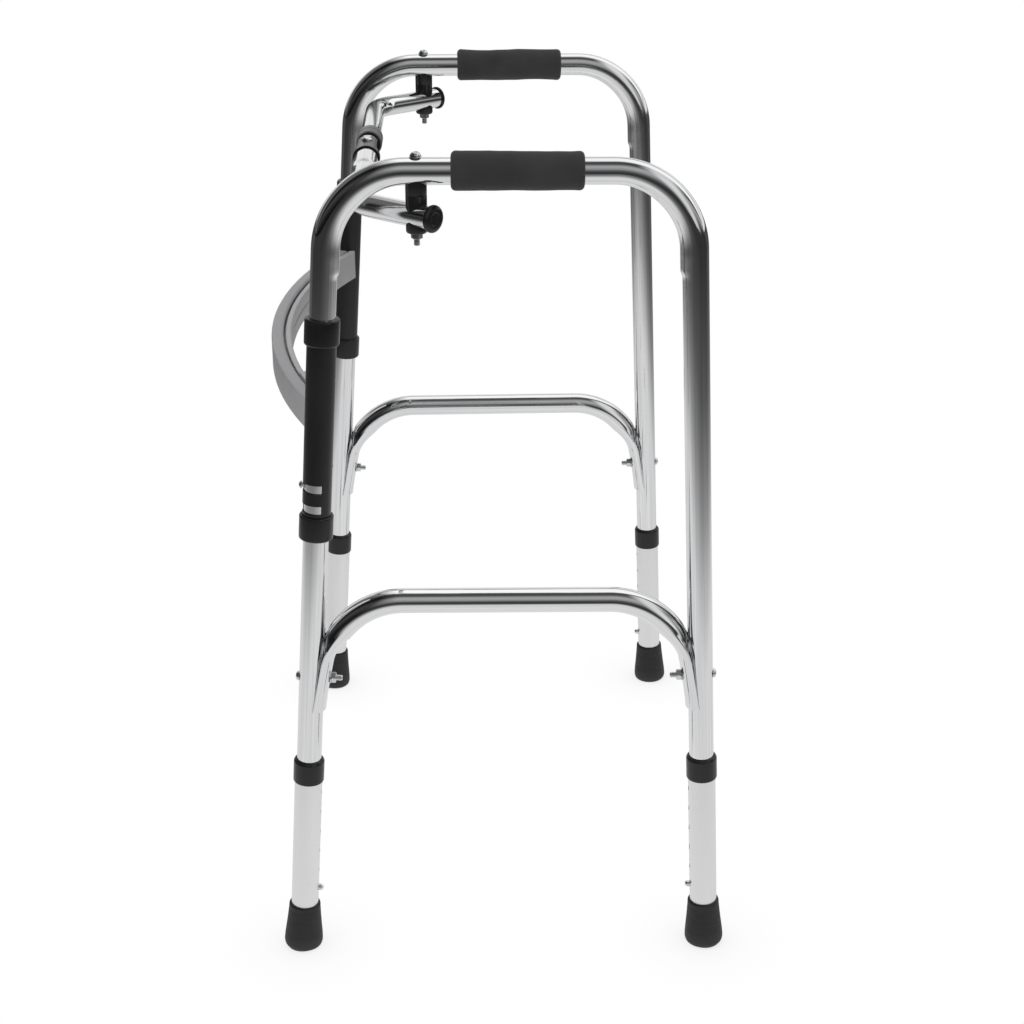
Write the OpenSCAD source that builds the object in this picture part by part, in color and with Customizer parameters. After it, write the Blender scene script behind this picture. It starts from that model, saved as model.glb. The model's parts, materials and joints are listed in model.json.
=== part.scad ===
// Folding walking frame. Two inverted-U side frames fold inwards about their own front
// legs, which turn in sleeves joined by a bowed front link. A two-part cross bar below the
// handles folds at its middle and holds the side frames apart. Each leg ends in an
// extension tube with a row of height holes, a snap button and a rubber tip.
// The user stands behind the frame facing -Y, so the user's left side is +X.
// Origin: on the floor, in the middle of the four feet. +Z is up.

/* [Side frames] */
// Half the distance between the two side frames at floor level
side_x = 298; // [280:1:320]
// Half the distance between front and rear feet
foot_y = 216.2; // [205:1:230]
// Height of the handle tube's axis along the side frame
handle_h = 836; // [820:1:860]
// Inward lean of each side frame, in degrees
lean = 1.25; // [0.5:0.05:2]
// Toe-in of each side frame seen from above, in degrees
toe = 0.8; // [0.5:0.1:1.5]
// Slope of the front legs, in degrees
front_splay = 3.75; // [3:0.05:4.5]
// Slope of the rear legs, in degrees
rear_splay = 2.75; // [2:0.05:3.5]
// Outside diameter of the side frame tube
tube_d = 25.4; // [25:0.1:26]
// Wall of the frame tubes
tube_wall = 1.3; // [1:0.1:1.6]
// Centre-line radius of the bends beside the handle
top_bend_r = 77; // [70:1:85]
// Height of the side tube's open lower ends
leg_end_h = 42; // [36:1:48]

/* [Brace] */
// Outside diameter of the brace tube
brace_d = 25; // [24:0.5:26]
// Height of the brace's straight run
brace_h = 404; // [390:1:420]
// Centre-line radius of the brace's bends
brace_bend_r = 78; // [70:1:85]
// Height of the bolts through the brace's ends
brace_bolt_h = 321; // [315:1:330]
// Thickness of the flattened brace ends
saddle_t = 5.5; // [4:0.5:6]
// Distance from a brace bolt to the end below it
brace_end_drop = 38; // [34:1:42]

/* [Leg extensions] */
// Outside diameter of the extension tube
ext_d = 28.6; // [28.4:0.1:29]
// Height of the lowest height hole, where the snap button sits
button_h = 71; // [68:1:74]
// Distance between height holes
hole_pitch = 23.6; // [22:0.2:25.4]
// Number of height holes
hole_count = 6; // [5:1:6]
// Diameter of the height holes
hole_d = 7.5; // [7:0.1:8]
// Bottom and top of the plastic collar on the extension
ext_collar_h = [201, 227]; // [200:1:230]
// Outside diameter of that collar
ext_collar_d = 31.6; // [31:0.1:33]
// Height of the rubber tip
tip_h = 52; // [48:1:56]
// Diameter of the rubber tip at the floor
tip_d = 41; // [39:0.5:44]
// Diameter of the snap button
button_d = 6.3; // [6:0.1:6.4]
// How far a snap button stands out of the extension
button_out = 5.2; // [4:0.1:5.5]

/* [Front link] */
// Outside diameter of the sleeves
sleeve_d = 28.6; // [28.4:0.1:29]
// Heights of the lower collar, bottom and top
low_collar_h = [474, 499.5]; // [470:0.5:505]
// Heights of the upper collar, bottom and top
top_collar_h = [673, 699]; // [670:0.5:705]
// Outside diameter of the sleeve collars
collar_d = 34; // [33:0.5:36]
// Height of the stop pin and its slot
pin_h = 529; // [526:0.5:532]
// Height of the second slot, just above the lower collar
low_slot_h = 507.5; // [504:0.5:510]
// Height of each slot's opening
slot_t = 9; // [8:0.5:10]
// Height of the front link above the floor
link_h = 596; // [585:1:600]
// How far the link bows forward of the two sleeves
link_bow = 60; // [50:1:65]
// Height of the link's outer cover
link_t = 34; // [32:1:36]

/* [Cross bar] */
// Outside diameter of the cross bar
bar_d = 22.2; // [22:0.1:22.6]
// Height of the cross bar's axis
bar_h = 794.6; // [790:0.1:800]
// Place of the bar's straight run, front to back
bar_y = -136; // [-140:1:-128]
// Place of the pivots, front to back
pivot_y = -80; // [-90:0.5:-75]
// Angle of the bar's ends to the straight run
bar_end_angle = 50; // [45:1:55]
// How far the bar runs on past its pivot
bar_past = 19; // [17:1:22]
// Diameter of the saddle spacers
spacer_d = 20; // [18:0.5:22]
// Outside diameter of the hinge housings in the middle of the bar
knuckle_d = 28.5; // [28:0.5:30]
// Diameter of the foam grips
grip_d = 35; // [33:0.5:37]
// Place of the left grip's front end
left_grip_y = -48; // [-55:1:-38]
// Place of the right grip's front end
right_grip_y = -40; // [-55:1:-38]
// Length of the foam grips
grip_length = 123; // [115:1:130]
// Length of the spacer under the bar
low_spacer_l = 5; // [4:0.5:14]

/* [Hidden] */
$fn = 64;

LEFT = 1;
RIGHT = -1;
FRONT = -1;
REAR = 1;
weld = 1;            // how far a straight run enters the bend at its end
weld_step = 0.2;     // how much thicker a bend is than the straight run that enters it
gap = 0.05;          // clearance of parts that turn in or slide over one another
slip = 0.02;         // clearance of parts that are pressed or clamped together
cut = 1;             // how far a cutting shape runs past the face it cuts
bolt_d = 6;
bolt_hole_d = 6.2;
nut_across = 10;     // across the flats of an M6 nut
nut_t = 5;
tube_r = tube_d / 2;
ext_r = ext_d / 2;
sleeve_r = sleeve_d / 2;
bar_r = bar_d / 2;

// Corners of the side tube's centre line, in the plane of the side frame (y, z)
side_path = [
    [-foot_y + leg_end_h * tan(front_splay), leg_end_h],
    [-foot_y + handle_h * tan(front_splay), handle_h],
    [foot_y - handle_h * tan(rear_splay), handle_h],
    [foot_y - leg_end_h * tan(rear_splay), leg_end_h]
];

// Corners of the brace's centre line: its ends run down beside the legs
brace_off = tube_r + saddle_t / 2 + 1;
brace_foot_h = brace_bolt_h + 2;
brace_path = [
    [-foot_y + brace_foot_h * tan(front_splay) + brace_off, brace_foot_h],
    [-foot_y + brace_h * tan(front_splay) + brace_off, brace_h],
    [foot_y - brace_h * tan(rear_splay) - brace_off, brace_h],
    [foot_y - brace_foot_h * tan(rear_splay) - brace_off, brace_foot_h]
];

// Cross bar, seen from above; the right half is its mirror image
pivot_x = side_x - bar_h * sin(lean) + pivot_y * sin(toe);
bar_corner_x = pivot_x - (pivot_y - bar_y) / tan(bar_end_angle);
bar_end_dir = [cos(bar_end_angle), sin(bar_end_angle)];
bar_end = [pivot_x, pivot_y] + bar_past * bar_end_dir;
bar_bend_r = 50;
flare_r = tube_d / 2;  // the left half's inner end is swaged out to this radius
flare_end_x = 92;      // where the swaged end starts to narrow
flare_taper = 8;

// Hinge in the middle of the bar
slot_half = 10;      // half the opening between the clevis plates
plate_x = -12;       // the clevis plates' free end
web_x = 30;          // where the plates join the clevis housing
tongue_half = 3;
tongue_end_x = 9;
tongue_w = 18;
root_x = -31;        // where the tongue joins its own round root
clevis_end_x = 42;   // outer end of the clevis housing, where the left tube starts
spigot = 20;         // length of the clevis inside the left tube
ring_x = [-66, -34]; // the ring round the tongue's root
socket_x = 50;       // where the right tube starts inside the tongue's root
root_r = 12.4;
ring_r = 13.9;
lock_x = 13;         // place of the lock button along the bar
lock_d = 11;
lock_travel = 2.8;
rivet_d = 6;

// Front link: arcs seen from above, round one centre. link_r is the arc through both
// front legs' axes; the cover and the bar behind it end against the sleeves.
link_leg_y = -foot_y + link_h * tan(front_splay);
link_leg_x = side_x - link_h * sin(lean) + link_leg_y * sin(toe);
link_r = (pow(link_leg_x, 2) + pow(link_bow, 2)) / (2 * link_bow);
link_centre_y = link_leg_y - link_bow + link_r;
link_sweep = asin(link_leg_x / link_r);
cover_in = -6;       // the cover's faces, measured outwards from link_r
cover_out = 7;
link_bar_out = -8;   // the bar's faces
link_bar_in = -14;
link_pad_in = -14.6; // inner face of the taller pads at the bar's ends
link_pad_sweep = 3.6; // how much of the arc each pad takes up, in degrees
pin_d = 5;

// ---------- placing ----------

// Draws in the plane of one side frame: x out of the plane, y front to back, z up
module side(s) {
    if (s == LEFT)
        translate([side_x, 0, 0]) rotate([0, -lean, 0]) rotate([0, 0, -toe]) children();
    else
        mirror([1, 0, 0]) side(LEFT) children();
}

// Draws along a leg: z runs up the leg's axis, +y points to the side frame's other leg
module leg(s, end) {
    if (end == FRONT)
        side(s) translate([0, -foot_y, 0]) rotate([-front_splay, 0, 0]) children();
    else
        side(s) translate([0, foot_y, 0]) rotate([rear_splay, 0, 0])
            mirror([0, 1, 0]) children();
}

// Draws along a side frame's cross bar pivot, with z = 0 at the height of the bar's axis
module pivot(s) {
    side(s) translate([0, pivot_y, bar_h]) children();
}

// Turns a drawing in the XY plane into the side frame's YZ plane
module upright() {
    rotate([90, 0, 90]) children();
}

// ---------- tubes ----------

function unit(v) = v / norm(v);
function side_of(a, b) = a[0] * b[1] - a[1] * b[0] > 0 ? 1 : -1;
function heading(p, i) = unit(p[i + 1] - p[i]);
function turn(p, i) = acos(heading(p, i - 1) * heading(p, i));
function tangent(p, i, bend_r) =
    i == 0 || i == len(p) - 1 ? 0 : bend_r * tan(turn(p, i) / 2);

// A round bar of radius r along a bent centre line in the XY plane. It can run on past
// its ends by the length `over`.
module bent_bar(p, bend_r, r, over = 0) {
    last = len(p) - 1;
    for (i = [0 : last - 1]) {
        d = heading(p, i);
        from = p[i] + d * (i == 0 ? -over : tangent(p, i, bend_r) - weld);
        to = p[i + 1] - d * (i == last - 1 ? -over : tangent(p, i + 1, bend_r) - weld);
        translate([from[0], from[1], 0]) rotate([0, 0, atan2(d[1], d[0])])
            rotate([0, 90, 0]) cylinder(h = norm(to - from), r = r);
    }
    for (i = [1 : last - 1]) {
        d = heading(p, i - 1);
        way = side_of(d, heading(p, i));
        inward = [-d[1], d[0]] * way;
        centre = p[i] - d * tangent(p, i, bend_r) + inward * bend_r;
        start = atan2(-inward[1], -inward[0]);
        translate([centre[0], centre[1], 0])
            rotate([0, 0, way > 0 ? start : start - turn(p, i)])
            rotate_extrude(angle = turn(p, i)) translate([bend_r, 0])
            circle(r = r + weld_step);
    }
}

// The same as a tube with the frame's wall thickness
module bent_tube(p, bend_r, r) {
    difference() {
        bent_bar(p, bend_r, r);
        bent_bar(p, bend_r, r - tube_wall, cut);
    }
}

module ring(h, outer, inner) {
    difference() {
        cylinder(h = h, r = outer);
        translate([0, 0, -cut]) cylinder(h = h + 2 * cut, r = inner);
    }
}

// A hole through a leg at height h, along y
module cross_hole(h, d, from, to) {
    translate([0, from, h]) rotate([-90, 0, 0]) cylinder(h = to - from, d = d);
}

// ---------- side frames ----------

module side_tube(s) {
    color("gainsboro") difference() {
        side(s) upright() bent_tube(side_path, top_bend_r, tube_r);
        for (end = [FRONT, REAR]) leg(s, end) {
            cross_hole(brace_bolt_h, bolt_hole_d, -tube_d, tube_d);
            cross_hole(button_h, button_d + 2 * gap, 0, tube_d);
        }
        pivot(s) cylinder(h = 2 * (handle_h - bar_h), d = bolt_hole_d);
        leg(s, FRONT) cross_hole(pin_h, pin_d + 2 * slip, -tube_d, 0);
    }
}

module brace(s) {
    end_h = brace_bolt_h - brace_end_drop;
    saddle_h = brace_foot_h + 24 - end_h;
    color("gainsboro") difference() {
        union() {
            side(s) upright() bent_bar(brace_path, brace_bend_r, brace_d / 2);
            for (end = [FRONT, REAR]) leg(s, end) intersection() {
                translate([0, 0, end_h]) cylinder(h = saddle_h, r = tube_r + saddle_t);
                translate([1 - tube_r, 4, end_h]) cube([tube_d - 2, tube_d, saddle_h]);
            }
        }
        side(s) upright() bent_bar(brace_path, brace_bend_r, brace_d / 2 - tube_wall);
        for (end = [FRONT, REAR]) leg(s, end) {
            cylinder(h = handle_h, r = tube_r + slip);
            cross_hole(brace_bolt_h, bolt_hole_d, 0, tube_d);
        }
    }
}

// A domed bolt head with a plain shank; z = 0 is the face under the head
module bolt(length, head_d, head_t) {
    translate([0, 0, -length]) cylinder(h = length, d = bolt_d);
    difference() {
        intersection() {
            cylinder(h = head_t, d = head_d);
            translate([0, 0, head_t - head_d * 0.8]) sphere(r = head_d * 0.8, $fn = 48);
        }
        for (a = [0, 90]) rotate([0, 0, a])
            translate([-head_d * 0.3, -0.6, head_t * 0.55]) cube([head_d * 0.6, 1.2, head_t]);
    }
}

module nut() {
    difference() {
        cylinder(h = nut_t, d = nut_across / cos(30), $fn = 6);
        translate([0, 0, -cut]) cylinder(h = nut_t + 2 * cut, d = bolt_d + 2 * slip);
    }
}

module brace_bolts(s) {
    inner_face = tube_r + saddle_t;
    color("silver") for (end = [FRONT, REAR]) leg(s, end)
        translate([0, -tube_r, brace_bolt_h]) rotate([90, 0, 0])
            bolt(tube_r + inner_face + nut_t + 8, 12, 4);
}

module brace_nuts(s) {
    color("silver") for (end = [FRONT, REAR]) leg(s, end)
        translate([0, tube_r + saddle_t, brace_bolt_h]) rotate([-90, 0, 0]) nut();
}

// A foam grip: a thick tube with chamfered ends, along the handle
module grip(s) {
    chamfer = 4;
    start_y = s == LEFT ? left_grip_y : right_grip_y;
    color("black") side(s) translate([0, start_y, handle_h]) rotate([-90, 0, 0])
        difference() {
            union() {
                cylinder(h = chamfer, d1 = grip_d - chamfer, d2 = grip_d);
                translate([0, 0, chamfer]) cylinder(h = grip_length - 2 * chamfer, d = grip_d);
                translate([0, 0, grip_length - chamfer])
                    cylinder(h = chamfer, d1 = grip_d, d2 = grip_d - chamfer);
            }
            translate([0, 0, -cut]) cylinder(h = grip_length + 2 * cut, r = tube_r + slip);
        }
}

// ---------- cross bar pivots ----------

head_z = handle_h - bar_h + tube_r;            // top of the handle above the bar's axis
meet_z = (handle_h - tube_r + bar_h + bar_r) / 2 - bar_h;
cup = 5;                                       // how far a saddle cups its tube
low_face_z = -bar_r - low_spacer_l;            // underside of the lower saddle

module pivot_bolt(s) {
    color("silver") pivot(s) translate([0, 0, head_z])
        bolt(head_z - low_face_z + nut_t + 8, 12, 4);
}

module pivot_nut(s) {
    color("silver") pivot(s) translate([0, 0, low_face_z - nut_t - gap]) nut();
}

module handle_bar(s) {
    side(s) upright() bent_bar(side_path, top_bend_r, tube_r + slip);
}

// A bar half's centre line, from a place near the middle to its outer end
function bar_path(start_x) = [[start_x, bar_y], [bar_corner_x, bar_y], bar_end];

// The left bar half, or its mirror image on the right
module bar_half(s, start_x, r, over = 0) {
    mirror([s == RIGHT ? 1 : 0, 0, 0]) translate([0, 0, bar_h])
        bent_bar(bar_path(start_x), bar_bend_r, r, over);
}

module upper_saddle(s) {
    color("dimgray") difference() {
        pivot(s) translate([0, 0, meet_z]) ring(head_z - tube_r - meet_z - tube_r + cup,
            spacer_d / 2, bolt_d / 2 + gap);
        handle_bar(s);
    }
}

module middle_saddle(s) {
    color("dimgray") difference() {
        pivot(s) translate([0, 0, bar_r - cup]) ring(meet_z - gap - bar_r + cup,
            spacer_d / 2, bolt_d / 2 + gap);
        bar_half(s, socket_x, bar_r + slip);
    }
}

module lower_saddle(s) {
    color("dimgray") difference() {
        pivot(s) translate([0, 0, low_face_z]) ring(-low_face_z - bar_r + cup,
            spacer_d / 2, bolt_d / 2 + gap);
        bar_half(s, socket_x, bar_r + slip);
    }
}

module bar_tube(s) {
    taper_end_x = flare_end_x + flare_taper;
    start_x = s == LEFT ? flare_end_x : socket_x;
    color("gainsboro") difference() {
        union() {
            bar_half(s, start_x, bar_r);
            if (s == LEFT) flare(clevis_end_x, taper_end_x, 0);
        }
        bar_half(s, start_x, bar_r - tube_wall, cut);
        if (s == LEFT) flare(clevis_end_x - cut, taper_end_x - cut / 2, tube_wall);
        pivot(s) translate([0, 0, -bar_d]) cylinder(h = 2 * bar_d, d = bolt_d + 2 * gap);
    }
}

// The swaged inner end of the left tube, drawn smaller by the length `inset`
module flare(from, to, inset) {
    along_bar(from, flare_end_x, flare_r - inset);
    translate([flare_end_x, bar_y, bar_h]) rotate([0, 90, 0])
        cylinder(h = to - flare_end_x, r1 = flare_r - inset, r2 = bar_r - inset);
}

module bar_cap(s) {
    plug_r = bar_r - tube_wall - slip;
    color("dimgray") mirror([s == RIGHT ? 1 : 0, 0, 0])
        translate([bar_end[0], bar_end[1], bar_h]) rotate([0, 0, bar_end_angle])
        rotate([0, 90, 0]) {
            cylinder(h = 2.5, d = bar_d + 4);
            translate([0, 0, 2.5]) cylinder(h = 2, d1 = bar_d + 4, d2 = bar_d - 2);
            translate([0, 0, -8]) cylinder(h = 8.5, r = plug_r);
        }
}

// ---------- hinge in the middle of the bar ----------

// A round housing along x, from one place on the bar to another
module along_bar(from, to, r) {
    translate([from, bar_y, bar_h]) rotate([0, 90, 0]) cylinder(h = to - from, r = r);
}

module hinge_clevis() {
    color("dimgray") difference() {
        union() {
            along_bar(web_x, clevis_end_x, knuckle_d / 2);
            along_bar(clevis_end_x - cut, clevis_end_x + spigot, flare_r - tube_wall - slip);
            intersection() {
                along_bar(plate_x, web_x + cut, knuckle_d / 2);
                union() {
                    translate([0, bar_y, 0]) cylinder(h = handle_h, r = -plate_x);
                    translate([0, bar_y - knuckle_d, 0])
                        cube([web_x + cut, 2 * knuckle_d, handle_h]);
                }
            }
        }
        translate([plate_x - cut, bar_y - knuckle_d, bar_h - slot_half])
            cube([web_x - plate_x + cut, 2 * knuckle_d, 2 * slot_half]);
        translate([0, bar_y, 0]) cylinder(h = handle_h, d = rivet_d + 2 * slip);
        translate([lock_x, bar_y, bar_h]) cylinder(h = knuckle_d, d = lock_d + 2 * gap);
    }
}

module hinge_rivets() {
    plate_t = knuckle_d / 2 - slot_half;
    color("silver") for (up = [1, -1]) translate([0, bar_y, bar_h])
        mirror([0, 0, up == 1 ? 0 : 1]) translate([0, 0, slot_half]) {
            cylinder(h = plate_t + 1.2, d = rivet_d);
            translate([0, 0, plate_t]) cylinder(h = 1.2, d = rivet_d + 2.4);
        }
}

module hinge_tongue() {
    color("dimgray") difference() {
        union() {
            along_bar(ring_x[0], root_x, root_r);
            translate([root_x - cut, bar_y - tongue_w / 2, bar_h - tongue_half])
                cube([-root_x + cut, tongue_w, 2 * tongue_half]);
            translate([0, bar_y, bar_h - tongue_half])
                cylinder(h = 2 * tongue_half, r = tongue_end_x);
        }
        along_bar(ring_x[0] - cut, slip - socket_x, bar_r + slip);
        translate([0, bar_y, bar_h - knuckle_d]) cylinder(h = 2 * knuckle_d, d = rivet_d + 0.4);
    }
}

module hinge_ring() {
    color("gray") difference() {
        along_bar(ring_x[0], ring_x[1], ring_r);
        along_bar(ring_x[0] - cut, ring_x[1] + cut, root_r + slip);
    }
}

module lock_button() {
    bottom = slot_half + lock_travel + 0.1;
    top = knuckle_d / 2 + 1;
    color("silver") translate([lock_x, bar_y, bar_h]) {
        translate([0, 0, bottom]) cylinder(h = top - bottom, d = lock_d);
        translate([0, 0, top]) cylinder(h = 2, d1 = lock_d, d2 = lock_d - 4);
    }
}

// ---------- front link ----------

slot_start = -105;   // slots run round the outside of the sleeve, from its front
slot_end = 26;

module sleeve(s) {
    from = low_collar_h[0] + 11;
    to = top_collar_h[1] - 11;
    color("dimgray") leg(s, FRONT) difference() {
        translate([0, 0, from]) ring(to - from, sleeve_r, tube_r + 0.4);
        for (h = [pin_h, low_slot_h])
            translate([0, 0, h - slot_t / 2]) rotate([0, 0, slot_start])
                rotate_extrude(angle = slot_end - slot_start)
                translate([tube_r - cut, 0]) square([2 * (sleeve_r - tube_r), slot_t]);
    }
}

// A plastic collar pressed over a sleeve's end; its narrow bore is the leg's bearing
module sleeve_collar(h, lip_up) {
    lip = 10.9;
    bearing = tube_r + gap;
    translate([0, 0, h[0]]) difference() {
        cylinder(h = h[1] - h[0], d = collar_d);
        translate([0, 0, -cut]) cylinder(h = h[1] - h[0] + 2 * cut, r = bearing);
        translate([0, 0, lip_up ? -cut : lip])
            cylinder(h = h[1] - h[0] - lip + cut, r = sleeve_r + slip);
        for (z = [h[1] - h[0], 0]) translate([0, 0, z]) mirror([0, 0, z > 0 ? 0 : 1])
            rotate_extrude() polygon([[collar_d / 2 - 1, 0.01], [collar_d, 0.01],
                [collar_d, -collar_d / 2 - 1]]);
    }
}

module sleeve_collars() {
    color("dimgray") for (s = [LEFT, RIGHT]) leg(s, FRONT) {
        sleeve_collar(low_collar_h, false);
        sleeve_collar(top_collar_h, true);
    }
}

module stop_pin(s) {
    color("silver") leg(s, FRONT) translate([0, -sleeve_r - 1, pin_h]) rotate([90, 0, 0]) {
        translate([0, 0, -sleeve_r - 1 + 4]) cylinder(h = sleeve_r - 2.9, d = pin_d);
        intersection() {
            cylinder(h = 3, d = 8);
            translate([0, 0, 3 - 4.6]) sphere(r = 4.6, $fn = 48);
        }
    }
}

// A curved strip of the front link, between two distances outwards from link_r and two
// angles from the middle
module link_strip(inner, outer, height, from, to) {
    translate([0, link_centre_y, link_h]) rotate([0, 0, -90 + from])
        rotate_extrude(angle = to - from, $fn = 180)
        translate([link_r + inner, -height / 2]) square([outer - inner, height]);
}

// The space for both sleeves
module sleeve_spaces() {
    for (s = [LEFT, RIGHT]) leg(s, FRONT)
        translate([0, 0, low_collar_h[0]])
            cylinder(h = top_collar_h[1] - low_collar_h[0], r = sleeve_r + slip);
}

module arch_cover() {
    color("darkgray") difference() {
        link_strip(cover_in, cover_out, link_t, -link_sweep, link_sweep);
        sleeve_spaces();
    }
}

module arch_bar() {
    color("gray") difference() {
        union() {
            link_strip(link_bar_in, link_bar_out, link_t - 4, -link_sweep, link_sweep);
            for (from = [-link_sweep, link_sweep - link_pad_sweep])
                link_strip(link_pad_in, link_bar_out - 0.2, link_t, from, from + link_pad_sweep);
        }
        sleeve_spaces();
    }
}

// ---------- leg extensions ----------

module extension(s, end) {
    color("lightgray") leg(s, end) difference() {
        translate([0, 0, 8]) ring(ext_collar_h[1] - 3 - 8, ext_r, tube_r + 0.08);
        for (i = [0 : hole_count - 1])
            cross_hole(button_h + i * hole_pitch, hole_d, 0, tube_d);
    }
}

module extension_collar(s, end) {
    length = ext_collar_h[1] - ext_collar_h[0];
    color("dimgray") leg(s, end) translate([0, 0, ext_collar_h[0]]) difference() {
        union() {
            cylinder(h = length - 2, d = ext_collar_d);
            translate([0, 0, length - 2])
                cylinder(h = 2, d1 = ext_collar_d, d2 = ext_collar_d - 2.4);
        }
        translate([0, 0, -cut]) cylinder(h = length + 2 * cut, r = tube_r + 0.08);
        translate([0, 0, -cut]) cylinder(h = length - 3 + cut + slip, r = ext_r + slip);
    }
}

module tip(s, end) {
    base_r = tip_d / 2;
    top_r = base_r - 4.5;
    color("dimgray") difference() {
        leg(s, end) difference() {
            union() {
                translate([0, 0, -4]) cylinder(h = 8, r = base_r);
                translate([0, 0, 4]) cylinder(h = 10, r1 = base_r, r2 = top_r + 1.5);
                translate([0, 0, 14])
                    cylinder(h = tip_h - 14, r1 = top_r + 1.5, r2 = top_r - 0.5);
            }
            translate([0, 0, 8 - slip]) cylinder(h = tip_h, r = ext_r + slip);
        }
        translate([-2 * side_x, -2 * foot_y, -50]) cube([4 * side_x, 4 * foot_y, 50]);
    }
}

spring_t = 0.8;
bore_r = tube_r - tube_wall;

module snap_button(s, end) {
    reach = ext_r + button_out;
    seat = bore_r - 3.4;
    color("silver") leg(s, end) translate([0, 0, button_h]) rotate([-90, 0, 0]) {
        translate([0, 0, seat]) cylinder(h = reach - 1.2 - seat, d = button_d);
        translate([0, 0, reach - 1.2]) cylinder(h = 1.2, d1 = button_d, d2 = button_d - 2);
    }
}

// A V-shaped leaf spring inside the leg: one arm behind the button, one on the far wall
module snap_spring(s, end) {
    arm_w = 8;
    arm = 46;
    inner_y = bore_r - 3.4 - spring_t - slip;
    outer_y = -sqrt(pow(bore_r, 2) - pow(arm_w / 2, 2)) + 0.2;
    bend_r = (inner_y - outer_y) / 2;
    color("silver") leg(s, end) {
        for (y = [outer_y, inner_y])
            translate([-arm_w / 2, y, button_h - 5]) cube([arm_w, spring_t, arm]);
        translate([-arm_w / 2, (outer_y + inner_y + spring_t) / 2, button_h - 5 + arm])
            rotate([0, 90, 0]) rotate([0, 0, 90]) rotate_extrude(angle = 180)
            translate([bend_r - spring_t / 2, 0]) square([spring_t, arm_w]);
    }
}

side_tube(LEFT);  // left_side_tube
side_tube(RIGHT);  // right_side_tube
brace(LEFT);  // left_brace
brace(RIGHT);  // right_brace
brace_bolts(LEFT);  // left_brace_bolts
brace_bolts(RIGHT);  // right_brace_bolts
brace_nuts(LEFT);  // left_brace_nuts
brace_nuts(RIGHT);  // right_brace_nuts
grip(LEFT);  // left_grip
grip(RIGHT);  // right_grip
pivot_bolt(LEFT);  // left_pivot_bolt
pivot_bolt(RIGHT);  // right_pivot_bolt
pivot_nut(LEFT);  // left_pivot_nut
pivot_nut(RIGHT);  // right_pivot_nut
upper_saddle(LEFT);  // left_upper_saddle
upper_saddle(RIGHT);  // right_upper_saddle
middle_saddle(LEFT);  // left_middle_saddle
middle_saddle(RIGHT);  // right_middle_saddle
lower_saddle(LEFT);  // left_lower_saddle
lower_saddle(RIGHT);  // right_lower_saddle
bar_tube(LEFT);  // left_bar_tube
bar_tube(RIGHT);  // right_bar_tube
bar_cap(LEFT);  // left_bar_cap
bar_cap(RIGHT);  // right_bar_cap
hinge_clevis();
hinge_tongue();
hinge_ring();
hinge_rivets();
lock_button();
sleeve(LEFT);  // left_sleeve
sleeve(RIGHT);  // right_sleeve
sleeve_collars();
stop_pin(LEFT);  // left_stop_pin
stop_pin(RIGHT);  // right_stop_pin
arch_cover();
arch_bar();
extension(LEFT, FRONT);  // front_left_extension
extension(RIGHT, FRONT);  // front_right_extension
extension(LEFT, REAR);  // rear_left_extension
extension(RIGHT, REAR);  // rear_right_extension
extension_collar(LEFT, FRONT);  // front_left_collar
extension_collar(RIGHT, FRONT);  // front_right_collar
extension_collar(LEFT, REAR);  // rear_left_collar
extension_collar(RIGHT, REAR);  // rear_right_collar
tip(LEFT, FRONT);  // front_left_tip
tip(RIGHT, FRONT);  // front_right_tip
tip(LEFT, REAR);  // rear_left_tip
tip(RIGHT, REAR);  // rear_right_tip
snap_button(LEFT, FRONT);  // front_left_button
snap_button(RIGHT, FRONT);  // front_right_button
snap_button(LEFT, REAR);  // rear_left_button
snap_button(RIGHT, REAR);  // rear_right_button
snap_spring(LEFT, FRONT);  // front_left_spring
snap_spring(RIGHT, FRONT);  // front_right_spring
snap_spring(LEFT, REAR);  // rear_left_spring
snap_spring(RIGHT, REAR);  // rear_right_spring
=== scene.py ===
import json
import math

import bmesh
import bpy
from mathutils import Matrix, Vector, noise


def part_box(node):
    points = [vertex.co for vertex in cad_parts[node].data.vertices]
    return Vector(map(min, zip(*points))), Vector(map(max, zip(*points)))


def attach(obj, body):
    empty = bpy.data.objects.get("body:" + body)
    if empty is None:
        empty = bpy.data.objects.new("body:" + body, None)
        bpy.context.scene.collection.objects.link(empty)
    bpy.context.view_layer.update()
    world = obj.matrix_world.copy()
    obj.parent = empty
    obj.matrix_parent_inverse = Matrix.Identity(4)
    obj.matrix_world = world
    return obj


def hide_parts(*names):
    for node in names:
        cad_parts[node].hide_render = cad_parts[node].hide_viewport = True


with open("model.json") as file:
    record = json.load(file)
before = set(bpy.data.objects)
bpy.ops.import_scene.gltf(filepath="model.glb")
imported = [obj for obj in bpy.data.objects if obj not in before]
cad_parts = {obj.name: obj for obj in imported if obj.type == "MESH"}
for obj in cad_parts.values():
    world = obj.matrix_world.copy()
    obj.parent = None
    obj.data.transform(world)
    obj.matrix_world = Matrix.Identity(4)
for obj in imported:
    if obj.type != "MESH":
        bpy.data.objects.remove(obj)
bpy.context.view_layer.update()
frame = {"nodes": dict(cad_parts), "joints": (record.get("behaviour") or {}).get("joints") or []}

# A folding walking frame. Left is the user's left, +X; the front is -Y; +Z is up.
# Places come from the CAD nodes and joints; the sizes below shape the visible surfaces.

SIDES = ("left", "right")
ENDS = ("front", "rear")
MM = 0.001

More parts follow.
